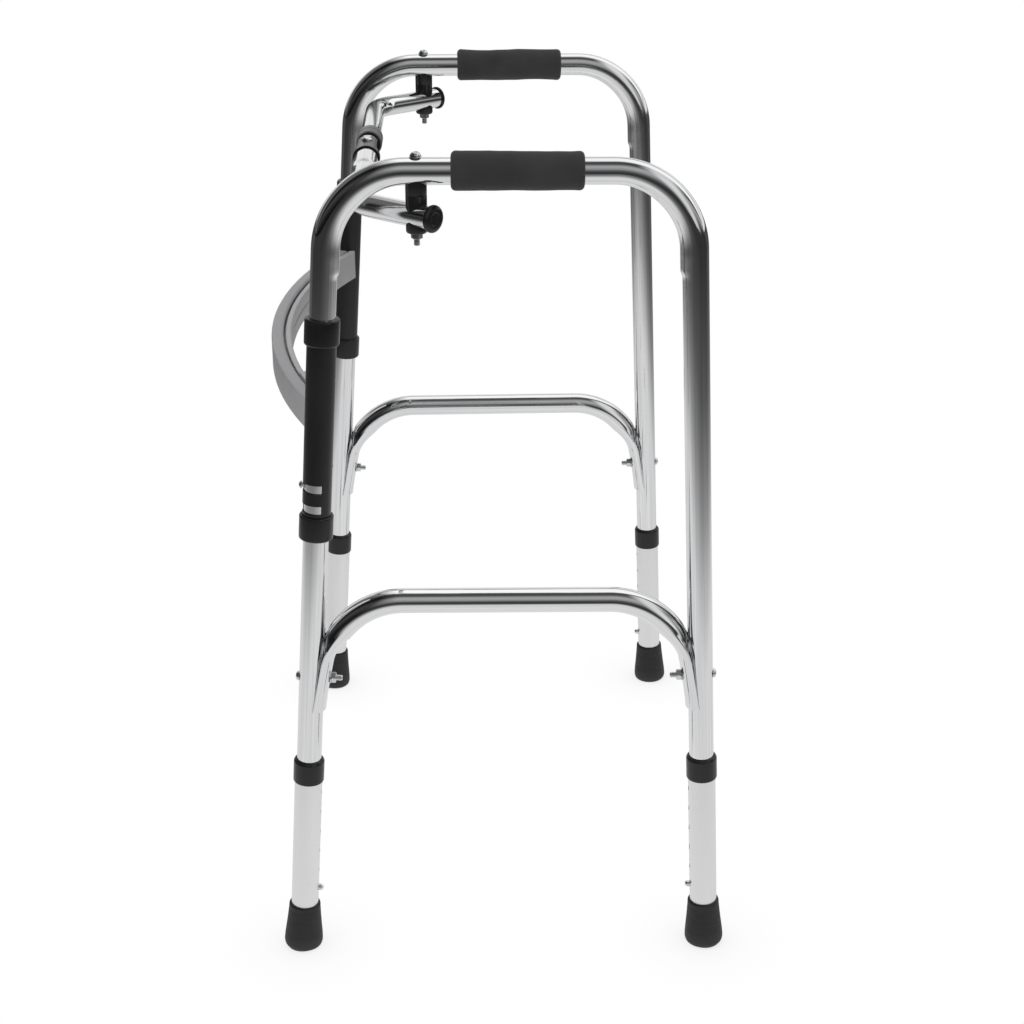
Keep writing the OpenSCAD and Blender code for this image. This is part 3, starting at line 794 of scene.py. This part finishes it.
def cupped_spacer(origin, up, tube_way, tube_r, near, far, bevel):
    """A round spacer with one end cupped over a tube that runs along tube_way.

    near and far are distances from the tube's axis; the cup follows the tube's surface.
    """
    side_way = up.cross(tube_way).normalized()
    segments = 64
    columns = []
    for j in range(segments):
        angle = 2 * math.pi * j / segments
        out = tube_way * math.cos(angle) + side_way * math.sin(angle)
        column = []
        for reach, drop in ((0, 0), (SPACER_R * 0.5, 0), (SPACER_R - bevel, 0),
                            (SPACER_R - bevel * 0.35, bevel * 0.3), (SPACER_R, bevel)):
            column.append(origin + out * max(reach, 1e-6) + up * (far - drop))
        for share in (1.0, 0.93, 0.8, 0.6, 0.4, 0.2, 0.0):
            across_tube = SPACER_R * share * math.sin(angle)
            surface = math.sqrt(max(tube_r ** 2 - across_tube ** 2, 0))
            column.append(origin + out * SPACER_R * max(share, 1e-4)
                          + up * (max(surface, near) + SPACER_GAP))
        columns.append(column)
    return skin(columns, closed_ring=False, caps=False, loop=True)


def pivot_stack(side):
    """From the handle down: bolt head, handle, two spacers, bar, lower spacer, nut."""
    at_bar, up = pivot_line(side)
    _, bend, outer = bar_corners(side)
    bar_way = (outer - bend).normalized()
    on_handle, handle_way = handle_line(side)
    at_handle = meet(at_bar, up, on_handle, handle_way)
    rise = (at_handle - at_bar).length
    middle = (rise - TUBE_R + BAR_R) / 2
    low_face, _ = axis_of(f"{side}_lower_saddle", up)
    drop = (at_bar - low_face).dot(up)
    upper = cupped_spacer(at_handle, -up, handle_way, TUBE_R, HANDLE_CUP, rise - middle,
                          SPACER_BEVEL)
    lower = cupped_spacer(at_bar, up, bar_way, BAR_R, BAR_CUP, middle - FIT, SPACER_BEVEL)
    under = cupped_spacer(at_bar, -up, bar_way, BAR_R, BAR_CUP, drop, UNDER_BEVEL)
    piece(f"{side}_handle_spacer", [upper], "black_plastic", f"{side}_side",
          f"{side}_upper_saddle")
    piece(f"{side}_bar_spacer", [lower], "black_plastic", f"{side}_bar", f"{side}_middle_saddle")
    piece(f"{side}_under_spacer", [under], "black_plastic", f"{side}_bar", f"{side}_lower_saddle")
    head_at = at_handle + up * (TUBE_R - 0.3 * MM)
    seat = washer(head_at, up, 1.1 * MM)
    head = lathe(head_at + up * 1 * MM, up,
                 [(0, 0, 0), (5.3 * MM, 0, 0.2 * MM), (5.3 * MM, 1.6 * MM, 0.8 * MM),
                  (4.4 * MM, 3.4 * MM, 1.2 * MM), (2.6 * MM, 4.4 * MM, 0.5 * MM),
                  (2.1 * MM, 3.4 * MM, 0.3 * MM), (0, 3.1 * MM, 0)])
    nut_at = at_bar - up * (drop + FIT)
    tail = bolt_end(nut_at, -up)
    piece(f"{side}_pivot_screw", [seat, head, tail], "zinc_fastener", f"{side}_side",
          f"{side}_pivot_bolt")
    piece(f"{side}_pivot_lock_nut", [hex_nut(nut_at, -up)], "zinc_fastener", f"{side}_side",
          f"{side}_pivot_nut")


def knuckle():
    """The grey ring and the bright lock button; the hinge castings stay as they are."""
    low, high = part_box("hinge_ring")
    centre = (low + high) / 2
    radius, length = (high.z - low.z) / 2, high.x - low.x
    start = Vector((low.x, centre.y, centre.z))
    bore, groove = radius - 1.6 * MM, radius - 0.7 * MM
    ring = lathe(start, Vector((1, 0, 0)),
                 [(bore, 0, 0.3 * MM), (radius, 0.2 * MM, 1.2 * MM),
                  (radius, length * 0.42, 0.3 * MM), (groove, length * 0.45, 0.2 * MM),
                  (groove, length * 0.49, 0.2 * MM), (radius, length * 0.52, 0.3 * MM),
                  (radius, length - 0.2 * MM, 1.2 * MM), (bore, length, 0.3 * MM)],
                 solid=False, segments=72)
    piece("hinge_grey_ring", [ring], "hinge_grey", "right_bar", "hinge_ring")
    low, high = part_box("lock_button")
    centre = (low + high) / 2
    radius, height = (high.x - low.x) / 2, high.z - low.z
    button = lathe(Vector((centre.x, centre.y, low.z)), Vector((0, 0, 1)),
                   [(0, 0, 0), (radius, 0, 0.2 * MM), (radius, height - 1.6 * MM, 1.4 * MM),
                    (radius * 0.62, height - 0.1 * MM, 1 * MM), (0, height, 0)])
    piece("hinge_lock_button", [button], "bright_button", "lock_button", "lock_button")


# ---------------- front link

LOW_COLLAR = (474 * MM, 499.5 * MM)     # along the front leg, from the floor
TOP_COLLAR = (673 * MM, 699 * MM)
COLLAR_R = 17 * MM
COLLAR_LIP = 10.9 * MM                  # the part that closes round the frame tube


def sleeve_collars():
    """The collars at both ends of both sleeves, each with its lip away from the sleeve."""
    bore, mouth = TUBE_R + 0.15 * MM, SLEEVE_R + FIT
    parts = []
    for side in SIDES:
        up = legs[side, "front"][1]
        foot = leg_point(side, "front", 0.0)
        for near, far, way in ((*LOW_COLLAR, up), (*TOP_COLLAR[::-1], -up)):
            length = abs(far - near)
            outline = [(bore, 0, 0.4 * MM), (COLLAR_R - 1.4 * MM, 0, 0.6 * MM),
                       (COLLAR_R, 1.3 * MM, 1.3 * MM),
                       (COLLAR_R, length - 1.2 * MM, 0.9 * MM),
                       (COLLAR_R - 1 * MM, length, 0.6 * MM), (mouth, length, 0.3 * MM),
                       (mouth, COLLAR_LIP, 0), (bore, COLLAR_LIP, 0)]
            parts.append(lathe(foot + up * near, way, outline, solid=False, segments=72))
    piece("sleeve_end_collars", parts, "black_plastic", "front_link", "sleeve_collars")


PIN_R = 2.5 * MM
PIN_FROM = 5 * MM                       # from the leg's axis, inside its tube
PIN_LENGTH = SLEEVE_R - 3 * MM
PIN_HEAD_AT = SLEEVE_R + 0.9 * MM


def stop_pin(side):
    """The round-headed pin that runs in the sleeve's upper slot."""
    low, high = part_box(f"{side}_stop_pin")
    centre = (low + high) / 2
    leg_low, up = legs[side, "front"]
    on_axis = leg_low + up * (centre - leg_low).dot(up)
    way = (centre - on_axis).normalized()
    pin = lathe(on_axis + way * PIN_FROM, way,
                [(0, 0, 0), (PIN_R, 0, 0), (PIN_R, PIN_LENGTH, 0), (0, PIN_LENGTH, 0)])
    head = lathe(on_axis + way * PIN_HEAD_AT, way,
                 [(0, 0, 0), (4 * MM, 0, 0.3 * MM), (3.9 * MM, 0.9 * MM, 0.6 * MM),
                  (2.6 * MM, 2.5 * MM, 1.2 * MM), (0, 3 * MM, 0)])
    piece(f"{side}_stop_stud", [pin, head], "zinc_fastener", f"{side}_side", f"{side}_stop_pin")


def arc_strip(centre, low_r, high_r, height, from_deg, to_deg, bevel, count=90, groove=0.0):
    """A bowed strip round a vertical axis, its inner face grooved along the middle."""
    z = height / 2
    outline = [(low_r, -z, bevel), (high_r, -z, bevel), (high_r, z, bevel), (low_r, z, bevel)]
    if groove:
        outline += [(low_r, 1.2 * MM, 0.3 * MM), (low_r + groove, 0.7 * MM, 0.2 * MM),
                    (low_r + groove, -0.7 * MM, 0.2 * MM), (low_r, -1.2 * MM, 0.3 * MM)]
    rounded = round_corners(outline, closed=True, steps=4)
    rings = []
    for i in range(count + 1):
        t = i / count
        t -= 0.9 * math.sin(2 * math.pi * t) / (2 * math.pi)       # closer near the ends
        angle = math.radians(from_deg - 90 + (to_deg - from_deg) * t)
        way = Vector((math.cos(angle), math.sin(angle), 0))
        rings.append([centre + way * p.x + Vector((0, 0, p.y)) for p in rounded])
    return skin(rings)


COVER_PROUD = 7 * MM                    # the cover's outer face, in front of the bow's line
COVER_BACK = -6 * MM                    # the other faces lie behind that line
BAR_FRONT, BAR_BACK = -8 * MM, -14 * MM
PAD_BACK = -14.6 * MM
LAP = 0.2 * MM                          # how far joined parts reach into one another
COVER_HEIGHT = 34 * MM
LINK_BAR_HEIGHT = 30 * MM
WEB_HEIGHT = 23 * MM
PAD_SWEEP = 8                           # degrees, from a sleeve's axis
COVER_SHORT, BAR_SHORT, WEB_SHORT = 0.75, 0.9, 1.2   # degrees left free at each end


def front_link():
    """The bowed link: a rounded outer cover, an inner bar with end pads, and a web between, which
    is black as painted shade in the groove.
    """
    low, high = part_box("arch_cover")
    level = (low.z + high.z) / 2
    end = leg_point("left", "front", level)
    bow = end.y - low.y - COVER_PROUD
    radius = (end.x ** 2 + bow ** 2) / (2 * bow)
    centre = Vector((0, end.y - bow + radius, level))
    half = math.degrees(math.asin(end.x / radius))

    def strip(back, front, height, short, bevel, groove=0.0):
        return arc_strip(centre, radius + back, radius + front, height, short - half,
                         half - short, bevel, groove=groove)

    cover = strip(COVER_BACK, COVER_PROUD, COVER_HEIGHT, COVER_SHORT, 3.4 * MM)
    bar = strip(BAR_BACK, BAR_FRONT, LINK_BAR_HEIGHT, BAR_SHORT, 1.6 * MM, groove=1.2 * MM)
    # the web takes the black sleeve's material: painted shade in the groove between cover and bar
    web = strip(BAR_FRONT - LAP, COVER_BACK + LAP, WEB_HEIGHT, WEB_SHORT, 0.2 * MM)
    pads = [arc_strip(centre, radius + PAD_BACK, radius + BAR_FRONT - LAP, COVER_HEIGHT,
                      start, stop, 0.8 * MM, count=30)
            for start, stop in ((half - PAD_SWEEP, half - BAR_SHORT),
                                (BAR_SHORT - half, PAD_SWEEP - half))]
    piece("link_cover", [cover], "grey_cover", "front_link", "arch_cover")
    piece("link_bar", [bar] + pads, "grey_bar", "front_link", "arch_bar")
    piece("link_gap_painted_shade", [web], "black_sleeve", "front_link", "arch_bar")


# ---------------- leg extensions

EXT_COLLAR_R = 15.9 * MM
EXT_COLLAR_LIP = 2.8 * MM       # the part that closes in round the frame tube


def extension_collar(side, end):
    """The collar at the top of an extension."""
    name = f"{end}_{side}"
    up = legs[side, end][1]
    low, high = axis_of(f"{name}_collar", up)
    length = (high - low).length
    shoulder, neck = length - EXT_COLLAR_LIP, TUBE_R + 0.1 * MM
    outline = [(EXT_R, 0, 0.3 * MM), (EXT_COLLAR_R - 0.7 * MM, 0, 0.5 * MM),
               (EXT_COLLAR_R, 1 * MM, 0.8 * MM), (EXT_COLLAR_R, length - 2.6 * MM, 0.9 * MM),
               (EXT_COLLAR_R - 1.6 * MM, length - 0.1 * MM, 0.9 * MM),
               (neck, length, 0.3 * MM), (neck, shoulder, 0), (EXT_R, shoulder, 0)]
    piece(f"{name}_height_collar", [lathe(low, up, outline, solid=False, segments=72)],
          "black_plastic", f"{name}_leg", f"{name}_collar")


TIP_H = 52 * MM
TIP_FLOOR = 8 * MM              # rubber under the end of the extension
TIP_SINK = 1 * MM               # cut level with the floor, because the legs lean


def rubber_tip(side, end):
    """A ferrule: slightly waisted, flared at the foot, with a lip round its mouth."""
    name = f"{end}_{side}"
    up = legs[side, end][1]
    foot = leg_point(side, end, 0.0)
    bore = EXT_R + 0.02 * MM
    outline = [(0, -TIP_SINK, 0), (17 * MM, -TIP_SINK, 0), (17 * MM, 0.2 * MM, 1 * MM),
               (19.3 * MM, 1.6 * MM, 2 * MM), (20.5 * MM, 5.5 * MM, 3 * MM),
               (20.1 * MM, 13 * MM, 4 * MM), (18.2 * MM, 30 * MM, 6 * MM),
               (16.7 * MM, 47 * MM, 2 * MM), (16.6 * MM, TIP_H - 1.4 * MM, 1 * MM),
               (15.8 * MM, TIP_H, 0.7 * MM), (bore, TIP_H, 0.4 * MM),
               (bore, TIP_FLOOR, 0), (0, TIP_FLOOR, 0)]
    points, faces = lathe(foot, up, outline, segments=80)
    points = [Vector((p.x, p.y, max(p.z, 0.0))) for p in points]
    piece(f"{name}_ferrule", [(points, faces)], "tip_rubber", f"{name}_leg", f"{name}_tip",
          sharp_deg=30)


BUTTON_R = 3.15 * MM


def snap_button(side, end):
    """The round button that stands in the lowest height hole."""
    name = f"{end}_{side}"
    press = Vector(joints[f"{name}_button_press"]["axis"]).normalized()
    low, high = axis_of(f"{name}_button", -press)
    length = (high - low).length
    stud = lathe(low, -press,
                 [(0, 0, 0), (BUTTON_R, 0, 0.2 * MM), (BUTTON_R, length - 1.8 * MM, 1.2 * MM),
                  (BUTTON_R * 0.66, length - 0.3 * MM, 1 * MM), (0, length, 0)], segments=40)
    piece(f"{name}_snap_stud", [stud], "bright_button", f"{name}_snap_button", f"{name}_button")


# ---------------- CAD nodes that stay

def keep(name, slot):
    """A CAD node with its material, smooth faces and, by modifier only, crisp corners."""
    obj = frame["nodes"][name]
    obj.data.materials.clear()
    obj.data.materials.append(MATERIALS[slot])
    for face in obj.data.polygons:
        face.use_smooth = True
    split = obj.modifiers.new("crisp", "EDGE_SPLIT")
    split.split_angle = math.radians(30)


for side in SIDES:
    side_tube(side)
    brace_tube(side)
    brace_fasteners(side)
    foam_grip(side)
    bar_tube(side)
    pivot_stack(side)
    stop_pin(side)
    keep(f"{side}_sleeve", "black_sleeve")
    for end in ENDS:
        extension_collar(side, end)
        rubber_tip(side, end)
        snap_button(side, end)
        keep(f"{end}_{side}_extension", "satin_extension")
        keep(f"{end}_{side}_spring", "spring_steel")
knuckle()
for name in ("hinge_clevis", "hinge_tongue"):
    keep(name, "black_plastic")
keep("hinge_rivets", "zinc_fastener")
sleeve_collars()
front_link()


# ---------------- studio

FLOOR_HALF = 30.0
FLOOR_REACH = 4.0               # metres covered by the pool's brightness steps
# painted reflection: the floor glows with this pool of light and the lighter patch only for
# glossy rays
FLOOR_POOL = ((0.0, 0.78), (0.27, 0.72), (0.35, 0.5), (0.43, 0.3), (0.5, 0.2), (0.62, 0.1),
              (0.8, 0.06), (1.0, 0.035))
FLOOR_PAINTED_PATCH = (0.68, 0.68, 0.68, 1)
CONTACT_REACH = 90 * MM
CONTACT_DARKEST = 0.72
# from the camera's side (0) over the top (0.5) to the far side (1)
ROOM_ARCH = ((0.0, 0.035), (0.06, 0.1), (0.14, 0.3), (0.21, 0.42), (0.27, 0.38), (0.36, 0.1),
             (0.45, 0.045), (0.51, 0.25), (0.55, 1.1), (0.74, 1.1), (0.8, 0.35), (0.86, 0.8),
             (1.0, 0.9))
WHITE = (1, 1, 1, 1)


def empty_tree(owner):
    """The node tree of a material or world, with nothing in it yet."""
    owner.use_nodes = True
    owner.node_tree.nodes.clear()
    return owner.node_tree


def maths(tree, operation, *values):
    """The result of a maths node fed by the given outputs."""
    made = node(tree, "ShaderNodeMath")
    made.operation = operation
    for value, socket in zip(values, made.inputs):
        tree.links.new(value, socket)
    return made.outputs["Value"]


def brightness(tree, value, stops):
    """A grey chosen by a value from 0 to 1, from (value, brightness) stops."""
    ramp = node(tree, "ShaderNodeValToRGB")
    elements = ramp.color_ramp.elements
    elements.remove(elements[-1])
    elements[0].position, elements[0].color = stops[0][0], (stops[0][1],) * 3 + (1,)
    for position, level in stops[1:]:
        elements.new(position).color = (level, level, level, 1)
    tree.links.new(value, ramp.inputs["Fac"])
    return ramp.outputs["Color"]


def choose(tree, factor, plain, chosen):
    """The chosen shader where the factor is 1, the plain one elsewhere."""
    mix = node(tree, "ShaderNodeMixShader")
    for value, socket in zip((factor, plain, chosen), mix.inputs):
        tree.links.new(value, socket)
    return mix.outputs["Shader"]


def painted_floor_glow(tree):
    """Painted reflection of the floor for polished metal: an emission, bright near the object and
    dark further off.
    """
    place = node(tree, "ShaderNodeNewGeometry").outputs["Position"]
    x, y, _ = split(tree, place)
    reach = node(tree, "ShaderNodeVectorMath")
    reach.operation = "LENGTH"
    tree.links.new(place, reach.inputs[0])
    share = remap(tree, reach.outputs["Value"], 0.0, 1.0, 0.0, FLOOR_REACH)
    blend = tree.nodes.new("ShaderNodeMix")
    blend.data_type = "RGBA"
    blend.inputs["B"].default_value = FLOOR_PAINTED_PATCH
    tree.links.new(brightness(tree, share, FLOOR_POOL), blend.inputs["A"])
    # a painted lighter patch, seen only in reflections, on the side away from the camera
    far = remap(tree, x, 1.0, 0.0, -1.1, -0.2)
    level = remap(tree, maths(tree, "ABSOLUTE", y), 1.0, 0.06, 0.4, 0.95)
    tree.links.new(maths(tree, "MULTIPLY", far, level), blend.inputs["Factor"])
    glow = node(tree, "ShaderNodeEmission")
    tree.links.new(blend.outputs["Result"], glow.inputs["Color"])
    return glow.outputs["Emission"]


def contact_shadow(tree):
    """Clear, and darker close to an object, so that lowered feet show through the floor."""
    contact = node(tree, "ShaderNodeAmbientOcclusion", Distance=CONTACT_REACH)
    contact.samples = 12
    clear = node(tree, "ShaderNodeBsdfTransparent")
    tree.links.new(remap(tree, contact.outputs["AO"], CONTACT_DARKEST, 1.0, 0.0, 1.0),
                   clear.inputs["Color"])
    return clear.outputs["BSDF"]


def studio_floor():
    """A pale floor: matte for light, a painted glow in reflections, contact shadows for the
    camera.
    """
    size = FLOOR_HALF
    mesh = bpy.data.meshes.new("floor")
    mesh.from_pydata([(-size, -size, 0), (size, -size, 0), (size, size, 0), (-size, size, 0)],
                     [], [(0, 1, 2, 3)])
    floor = add("floor", mesh)
    material = bpy.data.materials.new("pale_floor")
    tree = empty_tree(material)
    out = node(tree, "ShaderNodeOutputMaterial")
    matte = node(tree, "ShaderNodeBsdfDiffuse", Color=(0.93, 0.93, 0.93, 1))
    rays = node(tree, "ShaderNodeLightPath")
    lit = choose(tree, rays.outputs["Is Glossy Ray"], matte.outputs["BSDF"], painted_floor_glow(tree))
    shown = choose(tree, rays.outputs["Is Camera Ray"], lit, contact_shadow(tree))
    tree.links.new(shown, out.inputs["Surface"])
    mesh.materials.append(material)


def room_brightness(tree):
    """What polished metal sees of the room: soft boxes, a dark ceiling and a dim rest."""
    x, y, z = split(tree, node(tree, "ShaderNodeTexCoord").outputs["Generated"])
    turn = remap(tree, maths(tree, "ARCTAN2", z, x), 0.0, 1.0, 0.0, math.pi)
    # the arch is dim towards the front of the frame, except straight away from the camera
    front = remap(tree, y, 0.12, 1.0, -0.42, -0.12)
    behind = remap(tree, x, 1.0, 0.0, -0.85, -0.5)
    arch = maths(tree, "MULTIPLY", brightness(tree, turn, ROOM_ARCH),
                 maths(tree, "MAXIMUM", front, behind))
    rear_box = maths(tree, "MULTIPLY", remap(tree, y, 0.0, 0.75, 0.32, 0.55),
                     remap(tree, y, 1.0, 0.05, 0.72, 0.9))
    # only feet lowered past the floor ever see the lower half of the room
    below = remap(tree, z, 0.75, 0.0, -0.12, -0.04)
    return maths(tree, "MAXIMUM", maths(tree, "MAXIMUM", arch, rear_box), below)


def studio_world():
    """White to the camera, softer as a light, and a room with boxes in reflections."""
    world = bpy.data.worlds.new("studio")
    bpy.context.scene.world = world
    tree = empty_tree(world)
    out = node(tree, "ShaderNodeOutputWorld")
    plain = node(tree, "ShaderNodeBackground", Color=WHITE, Strength=1.0)
    fill = node(tree, "ShaderNodeBackground", Color=WHITE, Strength=0.6)
    room = node(tree, "ShaderNodeBackground", Strength=1.0)
    tree.links.new(room_brightness(tree), room.inputs["Color"])
    rays = node(tree, "ShaderNodeLightPath")
    seen = choose(tree, rays.outputs["Is Camera Ray"], fill.outputs["Background"],
                  plain.outputs["Background"])
    lit = choose(tree, rays.outputs["Is Glossy Ray"], seen, room.outputs["Background"])
    tree.links.new(lit, out.inputs["Surface"])


def soft_sun(name, place, strength, width_deg):
    """A wide, soft light from the direction of `place`."""
    data = bpy.data.lights.new(name, "SUN")
    data.energy = strength
    data.angle = math.radians(width_deg)
    light = add(name, data)
    light.matrix_world = Vector(place).to_track_quat("Z", "Y").to_matrix().to_4x4()
    light.visible_glossy = False


CAMERA_PLACE = Vector((1.9922, -0.0438, 1.2263))
CAMERA_YAW = 1.7554            # degrees from straight along -X, towards +Y
CAMERA_PITCH = -23.0947
CAMERA_ROLL = 0.0673
FOCAL_IN_IMAGE_WIDTHS = 1.841387
SENSOR_MM = 36.0


def photo_camera():
    """The camera, standing by the object's left side and looking a little down."""
    yaw, pitch, roll = (math.radians(a) for a in (CAMERA_YAW, CAMERA_PITCH, CAMERA_ROLL))
    ahead = Vector((-math.cos(yaw) * math.cos(pitch), math.sin(yaw) * math.cos(pitch),
                    math.sin(pitch)))
    right = Vector((math.sin(yaw), math.cos(yaw), 0))
    up = right.cross(ahead)
    turned = right * math.cos(roll) + up * math.sin(roll)
    up = up * math.cos(roll) - right * math.sin(roll)
    data = bpy.data.cameras.new("camera")
    data.sensor_width = SENSOR_MM
    data.lens = SENSOR_MM * FOCAL_IN_IMAGE_WIDTHS
    camera = add("camera", data)
    turn = Matrix((turned, up, -ahead)).transposed().to_4x4()
    camera.matrix_world = Matrix.Translation(CAMERA_PLACE) @ turn
    bpy.context.scene.camera = camera


studio_floor()
studio_world()
soft_sun("key", (0.45, -0.35, 1.0), 2.0, 55)
photo_camera()
bpy.context.scene.view_settings.view_transform = "Standard"
